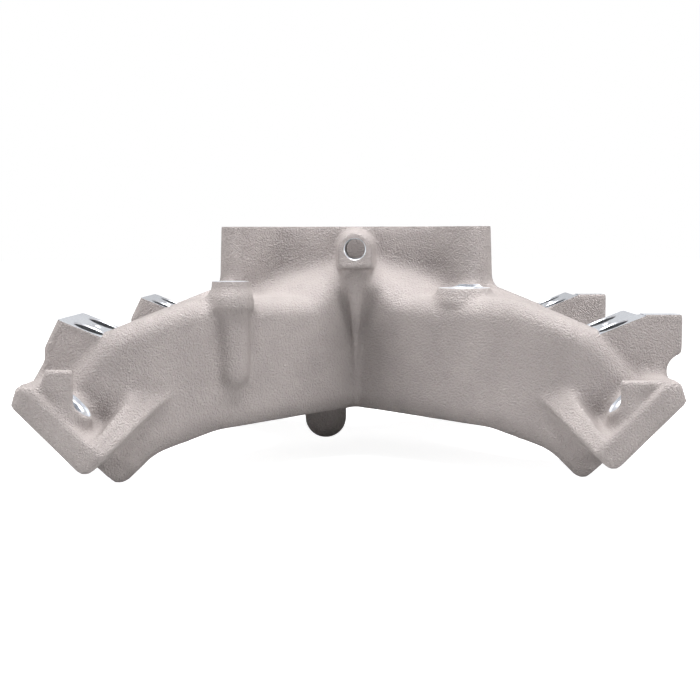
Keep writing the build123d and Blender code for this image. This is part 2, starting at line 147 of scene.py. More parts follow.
# ------------------------------------------------------------------ distance field helpers
half_x = np.arange(0.0, 190.0, VOXEL, dtype=np.float32)
reach_y = math.ceil(212.0 / VOXEL) * VOXEL
ys = np.arange(-reach_y, reach_y + VOXEL / 2, VOXEL, dtype=np.float32)
zs = np.arange(-152.0, 8.0, VOXEL, dtype=np.float32)
xs = np.concatenate([-half_x[:0:-1], half_x])
ORIGIN = np.array([xs[0], ys[0], zs[0]])
PLAN_X, PLAN_Y = np.meshgrid(half_x, ys, indexing="ij")
SIDE_X, SIDE_Z = np.meshgrid(half_x, zs, indexing="ij")


def polygon_distance(px, py, points):
    """Signed distance, negative inside, from each grid point to a closed polygon."""
    nearest = np.full(px.shape, 1e9, np.float32)
    inside = np.zeros(px.shape, bool)
    for (ax, ay), (bx, by) in zip(points, points[1:] + points[:1]):
        ex, ey = bx - ax, by - ay
        wx, wy = px - ax, py - ay
        along = np.clip((wx * ex + wy * ey) / max(ex * ex + ey * ey, 1e-9), 0, 1)
        nearest = np.minimum(nearest, (wx - ex * along) ** 2 + (wy - ey * along) ** 2)
        if ay != by:
            crosses = (ay > py) != (by > py)
            inside ^= crosses & (px < ax + (py - ay) * ex / ey)
    return np.where(inside, -1, 1).astype(np.float32) * np.sqrt(nearest)


def bend(points, radius, steps=12):
    """An open polyline with every inner corner turned into an arc."""
    out = [points[0]]
    for before, corner, after in zip(points, points[1:], points[2:]):
        heading_in = math.atan2(corner[1] - before[1], corner[0] - before[0])
        heading_out = math.atan2(after[1] - corner[1], after[0] - corner[0])
        turn = math.remainder(heading_out - heading_in, 2 * math.pi)
        tangent = radius * math.tan(abs(turn) / 2)
        x, y = corner[0] - tangent * math.cos(heading_in), corner[1] - tangent * math.sin(heading_in)
        out.append((x, y))
        step = abs(turn) * radius / steps
        for i in range(steps):
            heading = heading_in + turn * (i + 0.5) / steps
            x, y = x + step * math.cos(heading), y + step * math.sin(heading)
            out.append((x, y))
    out.append(points[-1])
    return out


def cut_round(a, b, radius):
    """Overlap of two fields with a rounded outer edge."""
    u = np.maximum(a + radius, 0)
    v = np.maximum(b + radius, 0)
    return np.minimum(np.maximum(a, b), -radius) + np.sqrt(u * u + v * v)


def join_round(a, b, radius):
    """Union of two fields with a fillet where they meet."""
    u = np.maximum(radius - a, 0)
    v = np.maximum(radius - b, 0)
    return np.maximum(np.minimum(a, b), radius) - np.sqrt(u * u + v * v)


def plan(field):
    return field[:, :, None]


def side(field):
    return field[:, None, :]


# ------------------------------------------------------------------ lines of the casting
def wall_points(seam, port_y, knee_x):
    return bend([(0.0, seam), (knee_x, port_y), (250.0, port_y)], WALL_KNEE)


def half_turn(points):
    return [(-x, -y) for x, y in points]


rear_outer = wall_points(SEAM_Y, PAIR_Y + PAIR_HALF + STAGGER, OUTER_KNEE_X)
front_outer = wall_points(-SEAM_Y, -PAIR_Y - PAIR_HALF + STAGGER, OUTER_KNEE_X)
rear_divider = wall_points(-DIVIDER_SEAM_Y, PAIR_Y + STAGGER, DIVIDER_KNEE_X)
front_divider = wall_points(DIVIDER_SEAM_Y, -PAIR_Y + STAGGER, DIVIDER_KNEE_X)
rear_inner = wall_points(-SEAM_Y, PAIR_Y - PAIR_HALF + STAGGER, INNER_KNEE_X)
front_inner = wall_points(SEAM_Y, -PAIR_Y + PAIR_HALF + STAGGER, INNER_KNEE_X)


def crossing(rear, front):
    """Where the first straight runs of two wall lines cross."""
    (x0, a0), (x1, a1) = rear[0], rear[1]
    (_, b0), (u1, b1) = front[0], front[1]
    slope_a, slope_b = (a1 - a0) / (x1 - x0), (b1 - b0) / (u1 - x0)
    x = (b0 - a0) / (slope_a - slope_b)
    return (x, a0 + slope_a * x)


rear_edge = rear_outer[::-1] + half_turn(front_outer)[1:]
hull = polygon_distance(PLAN_X, PLAN_Y, rear_edge + half_turn(rear_edge))
gap_plan = [crossing(rear_inner, front_inner)] + front_inner[1:] + rear_inner[:0:-1]
gap = polygon_distance(PLAN_X, PLAN_Y, gap_plan)
divider_plan = [crossing(rear_divider, front_divider)] + front_divider[1:] + rear_divider[:0:-1]
between = polygon_distance(PLAN_X, PLAN_Y, divider_plan)

FAR = 280.0
ROOF_BEND, FLOOR_BEND = 24, 28
roof_knee = (ROOF_KNEE_X, ROOF_RISE * ROOT2 - ROOF_KNEE_X)
far_roof = beside_head(ROOF_RISE, FAR)
far_floor = beside_head(FLOOR_RISE, FAR)


def roof_field(start):
    """Side view of everything under one kind of runner roof."""
    line = bend([(-PLENUM_HALF, start[1]), start, roof_knee, far_roof], ROOF_BEND)
    return polygon_distance(SIDE_X, SIDE_Z, line + [(far_roof[0], -400.0), (-PLENUM_HALF, -400.0)])


outer_roof, inner_roof = roof_field(OUTER_ROOF), roof_field(INNER_ROOF)
left_knee = (-KNEE_FLOOR[0], KNEE_FLOOR[1])
floor_knees = [left_knee, (0.0, SEAM_FLOOR), KNEE_FLOOR, beside_head(FLOOR_RISE, 170.3), far_floor]
floor_line = bend(floor_knees, FLOOR_BEND)
floor = polygon_distance(SIDE_X, SIDE_Z, floor_line + [(far_floor[0], 300.0), (left_knee[0], 300.0)])
rise = (SIDE_X + SIDE_Z) / ROOT2
reach = (SIDE_X - SIDE_Z) / ROOT2
raw_mating = reach - REACH - STOCK

Y3 = ys[None, :, None]
X3 = half_x[:, None, None]
Z3 = zs[None, None, :]


def flat_box(low, high, value):
    """Distance of a coordinate outside a range."""
    return np.maximum(low - value, value - high)


def side_polygon(points):
    return side(polygon_distance(SIDE_X, SIDE_Z, list(points)))


def round_seat(along, radius, deepest):
    """A raised round seat for a head bolt, with its stock, given the distance from the bolt along Y."""
    seat = np.sqrt((side(rise) - BOLT_RISE) ** 2 + along ** 2) - radius
    return np.maximum(seat, flat_box(BOLT_SEAT_REACH - SEAT_STOCK, deepest, side(reach)))


def end_lug(end):
    """A bolt lug: a plate along the head face, a sloping rib and a raised bolt seat."""
    outward = end * (Y3 - STAGGER) - (PAIR_Y + PAIR_HALF)
    past_end = outward - LUG_DEPTH
    inward = LUG_DEPTH - outward
    plate_draft, rib_draft = 0.12, 0.16
    backing = 8
    plate = side_polygon([
        beside_head(0, REACH + STOCK), beside_head(FLANGE_RISE, REACH + STOCK), (174.6, LUG_TOP),
        (INNER_FACE * ROOT2 + LUG_TOP - backing, LUG_TOP), beside_head(0, INNER_FACE - backing),
    ])
    plate = np.maximum(plate, INNER_FACE - plate_draft * inward - side(reach))
    plate = np.maximum(plate, past_end)
    bolt_rib = side(rise) - 14.5 - rib_draft * inward
    bolt_rib = np.maximum(bolt_rib, 120.0 - side(reach))
    slope = LUG_DEPTH / (INNER_FACE - LUG_RIB_REACH)
    ramp = (outward - (side(reach) - LUG_RIB_REACH) * slope) / math.hypot(1, slope)
    bolt_rib = np.maximum(np.maximum(bolt_rib, ramp), past_end)
    outer_edge = cut_round(5.0 - rise, reach - REACH - 0.2, 6.0)
    lug = cut_round(np.minimum(plate, bolt_rib), side(outer_edge), 0.3)
    seat = round_seat(end * (Y3 - STAGGER) - END_BOLT_Y, 12.5, INNER_FACE + 4)
    return np.maximum(np.minimum(lug, seat), -outward - 20)


def gusset_web(end, gusset_top):
    """The thin web set back between a lug's plate and its rib."""
    outward = end * (Y3 - STAGGER) - (PAIR_Y + PAIR_HALF)
    front = LUG_DEPTH - WEB_SET_BACK
    foot = gusset_top[0][0]
    web = side_polygon(gusset_top + [(foot, foot - (INNER_FACE + 3) * ROOT2)])
    return cut_round(web, flat_box(front - WEB_THICK, front, outward), 1.5)


def rounded_block(half_width, half_length, corner):
    """Plan distance to a rounded rectangle about the origin."""
    over_x = np.maximum(PLAN_X - half_width + corner, 0)
    over_y = np.maximum(np.abs(PLAN_Y) - half_length + corner, 0)
    return np.hypot(over_x, over_y) - corner


def half_body():
    """Plenum, runner walls, shoulder and riser on the +X side."""
    body = cut_round(plan(hull), side(outer_roof), 12.0)
    inner = np.maximum(plan(between), side(inner_roof))
    body = np.minimum(body, np.maximum(inner, plan(hull)))
    body = cut_round(body, side(floor), 11.0)
    body = cut_round(body, -np.maximum(plan(gap), PLENUM_HALF - X3), 5.0)
    body = np.maximum(body, side(raw_mating))

    forward = np.maximum(np.abs(Y3) - pad_high.y + RECESS_DEPTH, 0)
    shoulder = Z3 + 18.3 + SHOULDER_SLOPE_X * X3 + SHOULDER_SLOPE_Y * forward
    shoulder = shoulder / math.hypot(1, SHOULDER_SLOPE_X, SHOULDER_SLOPE_Y)
    shoulder = cut_round(plan(hull), shoulder, np.clip(4.0 + 0.27 * X3, 4.0, 12.0))
    shoulder = np.maximum(shoulder, flat_box(-60.0, -14.0, Z3))
    shoulder = np.maximum(shoulder, X3 - pad_high.x + 0.5)
    body = np.minimum(body, shoulder)

    half_width, end_y, corner, draft = pad_high.x - 0.3, pad_high.y, 10.5, 0.033
    riser = rounded_block(half_width, end_y, corner)
    mouth, bottom = 70.0, 47.0
    recess = [
        (-mouth, end_y + 30), (-mouth, end_y), (-bottom, end_y - RECESS_DEPTH),
        (bottom, end_y - RECESS_DEPTH), (mouth, end_y), (mouth, end_y + 30),
    ]
    riser = np.maximum(riser, -polygon_distance(PLAN_X, np.abs(PLAN_Y), recess))
    riser = plan(riser) + Z3 * draft
    return np.minimum(body, np.maximum(riser, flat_box(-50.0, STOCK, Z3)))


def half_fittings(with_posts):
    """Head flange, injector pads, posts and lugs on the +X side."""
    pad_side = side_polygon([
        beside_head(40.0, 150.0), CREASE, above_pad(CREASE, STOCK), above_pad(CREST, STOCK),
        CREST, (170.1, -66.0), (170.2, -73.2), (178.2, -87.1),
        beside_head(FLANGE_RISE, REACH + STOCK), beside_head(40.0, REACH + STOCK),
    ])
    post_top = post_high.z + SEAT_STOCK
    post_side = side_polygon([
        (160.0, -90.0), (160.0, -60.0), (CREST[0] + POST_STEP, post_top), (post_high.x, post_top),
        (post_high.x, -71.6), (180.8, -73.6), (178.0, -75.9), (176.4, -79.2), (176.2, -83.0),
    ])
    beside_flange = flat_box(INNER_FACE, REACH + STOCK, reach)
    fittings = np.maximum(side(flat_box(RAIL_LOW, RAIL_HIGH, rise)), side(beside_flange))
    fittings = np.maximum(fittings, np.abs(Y3 - STAGGER) - PAIR_Y)
    for end in (-1, 1):
        middle = end * PAIR_Y + STAGGER
        near = middle - PAD_HALF
        flange = np.maximum(flat_box(FLOOR_RISE, FLANGE_RISE, rise), beside_flange)
        flange = cut_round(side(flange), np.abs(Y3 - middle) - PAIR_HALF, 3.0)
        corner_cut = cut_round(side(FLOOR_RISE - rise), end * (Y3 - middle) - PAIR_HALF, 14.0)
        features = [
            np.maximum(pad_side, np.abs(Y3 - middle) - PAD_HALF),
            np.maximum(flange, corner_cut),
            end_lug(end),
            round_seat(Y3 - STAGGER - end * INNER_BOLT_Y, 12.0, REACH),
        ]
        if with_posts:
            features.append(np.maximum(post_side, flat_box(near, near + POST_LENGTH, Y3)))
        for feature in features:
            fittings = np.minimum(fittings, feature)
    return fittings


def half_webs(gusset_top):
    return np.minimum(gusset_web(-1, gusset_top), gusset_web(1, gusset_top))


def half_core():
    """The hollow on the +X side: plenum, passages and throttle well, as positive space."""
    side_wall, corner = 5.5, 7.0
    well_half_width, well_half_length, well_corner = 46.0, 48.0, 22.0
    between_walls = np.maximum(between, -gap)
    above_floor = side(floor + WALL)
    outer = cut_round(plan(hull + side_wall), side(outer_roof + WALL), corner)
    outer = cut_round(outer, above_floor, corner)
    inner = cut_round(plan(between_walls + side_wall), side(inner_roof + WALL), corner)
    inner = cut_round(inner, above_floor, corner)
    inner = np.maximum(inner, PLENUM_HALF - 2 - X3)
    divider = np.maximum(np.abs(between) - DIVIDER_HALF, PLENUM_HALF + 8 - PLAN_X)
    outer = np.maximum(outer, plan(np.where(PLAN_X > PLENUM_HALF, -between_walls - 1.5, -50.0)))
    plenum = np.maximum(plan(hull + END_WALL), np.maximum(side(outer_roof + WALL), above_floor))
    plenum = np.maximum(plenum, X3 - PLENUM_HALF - 6)
    core = np.minimum(np.minimum(outer, inner), plenum)
    core = cut_round(core, -plan(divider), 3.0)
    core = np.maximum(core, -plan(np.maximum(gap, PLENUM_HALF - PLAN_X)) + side_wall)
    well = rounded_block(well_half_width, well_half_length, well_corner)
    well = np.maximum(plan(well), -60.0 - Z3)
    return join_round(core, well, 4.0)


def half_waste(radius):
    """What lies beyond the rounded lower edge of a head face."""
    kept = cut_round(FLOOR_RISE - rise, reach - REACH - 0.3, radius)
    near_edge = (reach > REACH - radius) & (rise < FLOOR_RISE + 2 * radius)
    return side(np.where(near_edge, -kept, 50.0))


def whole(right, left):
    """Joins a +X half with another +X half turned half a turn about Z."""
    return np.concatenate([left[:0:-1, ::-1, :], right], axis=0)


def field_grid(field):
    grid = openvdb.FloatGrid()
    grid.background = 8.0
    grid.copyFromArray(np.clip(field / VOXEL, -8, 8).astype(np.float32))
    return grid


def refield(grid, level, margin):
    """A true distance field, in voxels, around one level of another field."""
    points, triangles, quads = grid.convertToPolygons(level, 0.0)
    transform = openvdb.createLinearTransform(voxelSize=1.0)
    return openvdb.FloatGrid.createLevelSetFromPolygons(
        points, triangles=triangles if len(triangles) else None, quads=quads,
        transform=transform, halfWidth=margin,
    )


def foundry_rounding(field, fillet, edge):
    """Closes every inner corner with a fillet and, where asked, takes the sharpness off every outer edge."""
    f, e = fillet / VOXEL, edge / VOXEL
    grid = refield(field_grid(field), 0.0, f + 2)
    if edge:
        grid = refield(grid, f, f + e + 3)
        grid = refield(grid, -f - e, e + 4)
    else:
        grid = refield(grid, f, f + 4)
    out = np.full(field.shape, 4.0 if edge else f + 4.0, np.float32)
    grid.copyToArray(out)
    return (out - e if edge else out + f) * VOXEL


RIGHT_WEB = [(144.0, LUG_TOP), (172.0, LUG_TOP)]
LEFT_WEB = [(146.3, -75.4), (160.5, -75.4), (163.0, LUG_TOP), (172.0, LUG_TOP)]
main_body = half_body()
casting = foundry_rounding(whole(main_body, main_body), 6.0, 0.0)
casting = np.minimum(casting, whole(half_fittings(True), half_fittings(False)))
X_ALL = xs[:, None, None]


def cone(centre, top_z, top_radius, bottom_z, bottom_radius):
    """An upright round boss, tapered between two heights."""
    away = np.hypot(X_ALL - centre[0], Y3 - centre[1])
    t = np.clip((top_z - Z3) / (top_z - bottom_z), 0, 1)
    return np.maximum(away - (top_radius + (bottom_radius - top_radius) * t), flat_box(bottom_z, top_z, Z3))


sensor_centre = (-71.0, -126.0)
tip_z, tip_r = -84.0, 10.2
post = cone(sensor_centre, sensor_top + SEAT_STOCK, 9.6, -44.0, 10.8)
column = cone(sensor_centre, -40.0, 11.0, tip_z, tip_r)
tip = np.sqrt((X_ALL - sensor_centre[0]) ** 2 + (Y3 - sensor_centre[1]) ** 2 + (Z3 - tip_z) ** 2) - tip_r
pipe_centre = ((pipe_low.x + pipe_high.x) / 2, (pipe_low.y + pipe_high.y) / 2)
pipe = cone(pipe_centre, pipe_high.z + SEAT_STOCK, 15.6, -46.0, 19.0)
under_centre = ((under_low.x + under_high.x) / 2, (under_low.y + under_high.y) / 2)
under_r = (under_high.x - under_low.x) / 2
under = np.hypot(X_ALL - under_centre[0], Y3 - under_centre[1])
under = np.hypot(under, np.minimum(Z3 - under_low.z - under_r, 0)) - under_r
under = np.maximum(under, Z3 + 112.0)
for feature in (column, tip, pipe, under):
    casting = np.minimum(casting, feature)

casting = foundry_rounding(casting, 3.2, 1.4)
casting = join_round(casting, post, 9.0)
casting = join_round(casting, whole(half_webs(RIGHT_WEB), half_webs(LEFT_WEB)), 2.0)

# The vacuum boss and the rib under it have tighter fillets than the rest.
boss_z = mount("vacuum_port")[0].z
boss_r = (boss_high.x - boss_low.x) / 2
boss_flare = np.clip((Y3 - boss_low.y - 14.0) / 18.0, 0, 1) * 2.0
boss = np.hypot(X_ALL, Z3 - boss_z) - boss_r - boss_flare
boss_leg = np.maximum(np.abs(X_ALL) - boss_r - boss_flare, flat_box(boss_low.z, boss_z, Z3))
boss = np.minimum(boss, boss_leg)
boss = cut_round(boss, flat_box(boss_low.y, -56.0, Y3), 1.2)
casting = join_round(casting, boss, 2.5)


def by_height(line, column):
    """One column of a table of heights, as a field that follows Z."""
    heights = [-row[0] for row in line]
    return np.interp(-zs, heights, [row[column] for row in line]).astype(np.float32)[None, None, :]


# The shoulder runs on across the top of the seam, below the boss.
saddle_drop = SHOULDER_SLOPE_X * np.abs(X_ALL) + SHOULDER_SLOPE_Y * np.maximum(-Y3 - 60.0, 0)
saddle_top = (Z3 + 19.8 + saddle_drop) / 1.22
saddle_front = 0.25 * np.maximum(-33.0 - Z3, 0) - 81.0 - Y3
saddle = np.maximum(cut_round(saddle_top, saddle_front, 3.0), np.abs(X_ALL) - 16.0)
saddle = np.maximum(saddle, np.maximum(Y3 - RIB_BACK, flat_box(-75.0, -20.0, Z3)))
casting = join_round(casting, saddle, 3.0)

# Each row of a ridge or rib: its height, the Y of its front there and, for the rib, its half width.
ridge_line = (
    (-22.0, -77.0), (-28.0, -81.0), (-32.0, -83.6), (-35.0, -84.4),
    (-38.0, -82.0), (-42.0, -76.0), (-46.0, -70.0),
)
ridge = cut_round(np.abs(X_ALL) - 8.5, by_height(ridge_line, 1) - Y3, 5.0)
ridge = np.maximum(ridge, np.maximum(Y3 - RIB_BACK, flat_box(-46.0, -22.0, Z3)))
casting = join_round(casting, ridge, 5.0)

rib_line = (
    (-23.0, -70.0, 4.4), (-26.0, -73.0, 4.4), (-30.0, -78.5, 4.4), (-34.0, -83.0, 4.2), (-38.0, -84.8, 4.0),
    (-44.0, -84.2, 3.5), (-50.0, -82.5, 3.4), (-60.0, -79.8, 3.0), (-68.0, -78.2, 2.2), (-90.0, -76.0, 1.9),
    (-110.0, -73.6, 1.0),
)
rib = cut_round(np.abs(X_ALL) - by_height(rib_line, 2), by_height(rib_line, 1) - Y3, 1.6)
rib = np.maximum(rib, np.maximum(Y3 - RIB_BACK, flat_box(-111.0, -22.0, Z3)))
casting = join_round(casting, rib, 2.0)

core = half_core()
casting = np.maximum(casting, -whole(core, core))
waste = half_waste(5.0)
casting = np.maximum(casting, -whole(waste, waste))

points, triangles, quads = field_grid(casting).convertToPolygons(0.0, 0.0)
points = points * VOXEL + ORIGIN


# ------------------------------------------------------------------ materials
def node_material(name):
    material = bpy.data.materials.new(name)
    material.use_nodes = True
    nodes, links = material.node_tree.nodes, material.node_tree.links
    return material, nodes, links, nodes["Principled BSDF"]


def cast_material():
    """Sand-cast aluminium: a dull warm grey with a wrinkled, leathery grain."""
    material, nodes, links, shader = node_material("cast_aluminium")
    shader.inputs["Metallic"].default_value = 0.15
    shader.inputs["Roughness"].default_value = 0.5
    coordinates = nodes.new("ShaderNodeTexCoord")
    warp = nodes.new("ShaderNodeTexNoise")
    warp.inputs["Scale"].default_value = 260
    warp.inputs["Detail"].default_value = 1
    links.new(coordinates.outputs["Object"], warp.inputs["Vector"])
    bent = nodes.new("ShaderNodeMix")
    bent.data_type = "VECTOR"
    bent.inputs["Factor"].default_value = 0.0016
    links.new(coordinates.outputs["Object"], bent.inputs[4])
    links.new(warp.outputs["Color"], bent.inputs[5])
    grain = nodes.new("ShaderNodeTexNoise")
    grain.inputs["Scale"].default_value = 960
    grain.inputs["Detail"].default_value = 2.5
    grain.inputs["Roughness"].default_value = 0.55
    links.new(bent.outputs[1], grain.inputs["Vector"])
    patches = nodes.new("ShaderNodeTexNoise")
    patches.inputs["Scale"].default_value = 45
    patches.inputs["Detail"].default_value = 3
    links.new(coordinates.outputs["Object"], patches.inputs["Vector"])
    bump = nodes.new("ShaderNodeBump")
    bump.inputs["Strength"].default_value = 0.9
    bump.inputs["Distance"].default_value = 0.0017
    links.new(grain.outputs["Fac"], bump.inputs["Height"])
    links.new(bump.outputs["Normal"], shader.inputs["Normal"])
    fine = nodes.new("ShaderNodeValToRGB")
    fine.color_ramp.elements[0].position = 0.3
    fine.color_ramp.elements[0].color = (0.335, 0.299, 0.290, 1)
    fine.color_ramp.elements[1].position = 0.72
    fine.color_ramp.elements[1].color = (0.385, 0.346, 0.336, 1)
    links.new(grain.outputs["Fac"], fine.inputs["Fac"])
    broad = nodes.new("ShaderNodeValToRGB")
    broad.color_ramp.elements[0].position = 0.3
    broad.color_ramp.elements[0].color = (0.9, 0.9, 0.9, 1)
    broad.color_ramp.elements[1].position = 0.7
    broad.color_ramp.elements[1].color = (1.06, 1.06, 1.06, 1)
    links.new(patches.outputs["Fac"], broad.inputs["Fac"])
    mixed = nodes.new("ShaderNodeMix")
    mixed.data_type = "RGBA"
    mixed.blend_type = "MULTIPLY"
    mixed.inputs["Factor"].default_value = 1.0
    links.new(fine.outputs["Color"], mixed.inputs[6])
    links.new(broad.outputs["Color"], mixed.inputs[7])
    links.new(mixed.outputs[2], shader.inputs["Base Color"])
    return material


def machined_material(name, shade):
    """Milled aluminium: bright, slightly blue, with faint cutter marks. A shade below 1 darkens the same
    metal as painted shade.
    """
    material, nodes, links, shader = node_material(name)
    shader.inputs["Metallic"].default_value = 0.75
    shader.inputs["Roughness"].default_value = 0.36
    coordinates = nodes.new("ShaderNodeTexCoord")
    marks = nodes.new("ShaderNodeTexNoise")
    marks.inputs["Scale"].default_value = 900
    marks.inputs["Detail"].default_value = 2
    links.new(coordinates.outputs["Object"], marks.inputs["Vector"])
    tone = nodes.new("ShaderNodeValToRGB")
    tone.color_ramp.elements[0].position = 0.35
    tone.color_ramp.elements[0].color = (0.60 * shade, 0.62 * shade, 0.66 * shade, 1)
    tone.color_ramp.elements[1].position = 0.65
    tone.color_ramp.elements[1].color = (0.74 * shade, 0.76 * shade, 0.80 * shade, 1)
    links.new(marks.outputs["Fac"], tone.inputs["Fac"])
    links.new(tone.outputs["Color"], shader.inputs["Base Color"])
    bump = nodes.new("ShaderNodeBump")
    bump.inputs["Strength"].default_value = 0.12
    bump.inputs["Distance"].default_value = 0.0002
    links.new(marks.outputs["Fac"], bump.inputs["Height"])
    links.new(bump.outputs["Normal"], shader.inputs["Normal"])
    return material


cast = cast_material()
machined = machined_material("machined_aluminium", 1.0)
# The machined metal darkened to 0.3: painted shade for the deep walls and inner ends of holes.
drilled = machined_material("drilled_aluminium", 0.3)
joint = bpy.data.materials.new("joint")


# ------------------------------------------------------------------ exact solids that cut the casting
def new_mesh(name, vertices, faces, material):
    mesh = bpy.data.meshes.new(name)
    mesh.from_pydata(vertices, [], faces)
    mesh.materials.append(material)
    return mesh


def prism(outline, low, high, place, material):
    """A closed prism: an outline with its two ends placed by a function of u, v and height."""
    area = sum(a[0] * b[1] - b[0] * a[1] for a, b in zip(outline, outline[1:] + outline[:1]))
    outline = outline if area > 0 else outline[::-1]
    n = len(outline)
    vertices = [place(u, v, low) for u, v in outline] + [place(u, v, high) for u, v in outline]
    faces = [tuple(range(n))[::-1], tuple(range(n, 2 * n))]
    faces += [(i, (i + 1) % n, n + (i + 1) % n, n + i) for i in range(n)]
    flip = Vector(place(1, 0, 0)) - Vector(place(0, 0, 0))
    flip = flip.cross(Vector(place(0, 1, 0)) - Vector(place(0, 0, 0)))
    if flip.dot(Vector(place(0, 0, 1)) - Vector(place(0, 0, 0))) < 0:
        faces = [face[::-1] for face in faces]
    return new_mesh("prism", vertices, faces, material)


def block(low, high, material):
    outline = [(low[0], low[1]), (high[0], low[1]), (high[0], high[1]), (low[0], high[1])]
    return prism(outline, low[2], high[2], lambda u, v, w: (u, v, w), material)


def along_y(outline, low, high, material, bank=1):
    """A prism drawn in side view, X across and Z up, and run along Y. Bank -1 gives its half-turn twin."""
    return prism(outline, low, high, lambda u, v, w: (bank * u, bank * w, v), material)


def turned(origin, axis, profile, material, sides=48, deep=None):
    """A closed solid of revolution: profile points are (distance along the axis, radius).

    With a deep material, the faces below the bright mouth and the closed inner end take it: painted shade
    inside the hole.
    """
    axis = Vector(axis).normalized()
    across = axis.orthogonal().normalized()
    other = axis.cross(across)
    origin = Vector(origin)
    vertices, faces = [], []
    for along, radius in profile:
        for i in range(sides):
            angle = 2 * math.pi * (i + 0.5) / sides
            spoke = across * math.cos(angle) + other * math.sin(angle)
            vertices.append(tuple(origin + axis * along + spoke * radius))
    faces.append(tuple(range(sides))[::-1])
    for ring in range(len(profile) - 1):
        a, b = ring * sides, (ring + 1) * sides
        faces += [(a + i, a + (i + 1) % sides, b + (i + 1) % sides, b + i) for i in range(sides)]
    last = (len(profile) - 1) * sides
    faces.append(tuple(range(last, last + sides)))
    mesh = new_mesh("turned", vertices, faces, material)
    # Painted shade: the inner end and the walls deeper than BRIGHT_DEPTH take the darkened material.
    if deep:
        mesh.materials.append(deep)
        mesh.polygons[0].material_index = 1
        for ring in range(len(profile) - 1):
            if profile[ring + 1][0] < -BRIGHT_DEPTH:
                for i in range(sides):
                    mesh.polygons[1 + ring * sides + i].material_index = 1
    return mesh


def together(tools):
    """One mesh holding several closed solids that do not touch."""
    vertices, faces = [], []
    for tool in tools:
        first = len(vertices)
        vertices += [tuple(vertex.co) for vertex in tool.vertices]
        faces += [tuple(first + i for i in polygon.vertices) for polygon in tool.polygons]
    mesh = new_mesh("tools", vertices, faces, tools[0].materials[0])
    kinds = [polygon.material_index for tool in tools for polygon in tool.polygons]
    # Faces marked for painted hole shade keep the darkened machined metal.
    if any(kinds):
        mesh.materials.append(drilled)
        mesh.polygons.foreach_set("material_index", kinds)
    return mesh


def carve(body, tool, operation):
    """One mesh cut by, limited to, or joined with another."""
    scene = bpy.context.scene
    holders = [bpy.data.objects.new("holder", mesh) for mesh in (body, tool)]
    for holder in holders:
        scene.collection.objects.link(holder)
    modifier = holders[0].modifiers.new("carve", "BOOLEAN")
    modifier.operation = operation
    modifier.solver = "MANIFOLD"
    modifier.material_mode = "TRANSFER"
    modifier.object = holders[1]
    bpy.context.view_layer.update()
    result = bpy.data.meshes.new_from_object(holders[0].evaluated_get(bpy.context.evaluated_depsgraph_get()))
    for holder in holders:
        bpy.data.objects.remove(holder)
    return result


# ------------------------------------------------------------------ machining
def face_frame(bank, rise, reach, y):
    """A point beside a head; Y is measured on the right bank and half-turned for the left."""
    x, z = beside_head(rise, reach)
    return (bank * x, bank * y, z)


def head_block(low_rise, high_rise, low_reach, high_reach):
    """Side view of a block that lies square to a head face."""
    return [
        beside_head(low_rise, low_reach), beside_head(high_rise, low_reach),
        beside_head(high_rise, high_reach), beside_head(low_rise, high_reach),
    ]


body = new_mesh("casting", points.tolist(), quads.tolist() + triangles.tolist(), cast)
overrun, overcut = 1.2, 9
past = (CREST[0] + overrun, CREST[1] + overrun * math.tan(PAD_TILT))
faced = [block((-100, -100, 0), (100, 100, 12), machined)]
recessed, holes = [], []
for bank in (1, -1):
    faced.append(along_y(head_block(-40, 80, REACH, REACH + 20), -215, 215, machined, bank))
    outward = (bank / ROOT2, 0, -1 / ROOT2)
    for end in (-1, 1):
        middle = end * PAIR_Y + STAGGER
        outline = [CREASE, past, above_pad(past, overcut), above_pad(CREASE, overcut)]
        faced.append(along_y(outline, middle - 36, middle + 36, machined, bank))
        if bank > 0:
            near = middle - PAD_HALF
            post_corner = (CREST[0] + POST_STEP, near - 2, post_high.z)
            far_corner = (190, near + POST_LENGTH + 2, post_high.z + overcut)
            recessed.append(block(post_corner, far_corner, machined))
        for bolt_y in (END_BOLT_Y, INNER_BOLT_Y):
            seat = face_frame(bank, BOLT_RISE, BOLT_SEAT_REACH, end * bolt_y + STAGGER)
            recessed.append(turned(seat, outward, [(-14, SPOT_R), (0, SPOT_R)], machined))
            steps = [(-2, BOLT_R + 0.85), (0, BOLT_R + 0.85), (0.85, BOLT_R), (40, BOLT_R)]
            holes.append(turned(seat, outward, steps, machined))
# Injector, rail screw, vacuum and pipe holes take painted shade on their deep faces.
for spec in record["mounts"]:
    place, axis, dims = mount(spec["name"])
    mouth = place + axis * dims.get("length_mm", 0) / 2
    if spec["name"].startswith("injector"):
        steps = [
            (-44, 3.5), (-24, 3.5), (-23.99, 7.1), (-4, 7.1), (-3.99, 8.9), (-0.6, 8.9), (0, 9.5), (4, 9.5),
        ]
        holes.append(turned(mouth + axis * 4.0, axis, steps, machined, deep=drilled))
    elif spec["name"].startswith("rail_screw"):
        steps = [(-14, 2.55), (-0.6, 2.55), (0, 3.15), (4, 3.15)]
        holes.append(turned(mouth, axis, steps, machined, deep=drilled))
for x in (-STUD_X, STUD_X):
    for y in (-STUD_Y, STUD_Y):
        holes.append(turned((x, y, 0), (0, 0, 1), [(-20, 4.0), (-0.7, 4.0), (0, 4.7), (4, 4.7)], machined))
boss_face = (0, boss_low.y, boss_z)
steps = [(-46, 6.1), (-0.6, 6.1), (0, 6.7), (5, 11.7)]
holes.append(turned(boss_face, (0, -1, 0), steps, machined, deep=drilled))
pipe_top = (*pipe_centre, pipe_high.z)
steps = [(-13, 9.25), (-1.0, 9.25), (0, 10.25), (0.001, 15.8), (1.6, 15.8)]
holes.append(turned(pipe_top, (0, 0, 1), steps, machined, 72, drilled))
holes.append(turned((*sensor_centre, sensor_top), (0, 0, 1), [(0, 12.5), (5, 12.5)], machined))
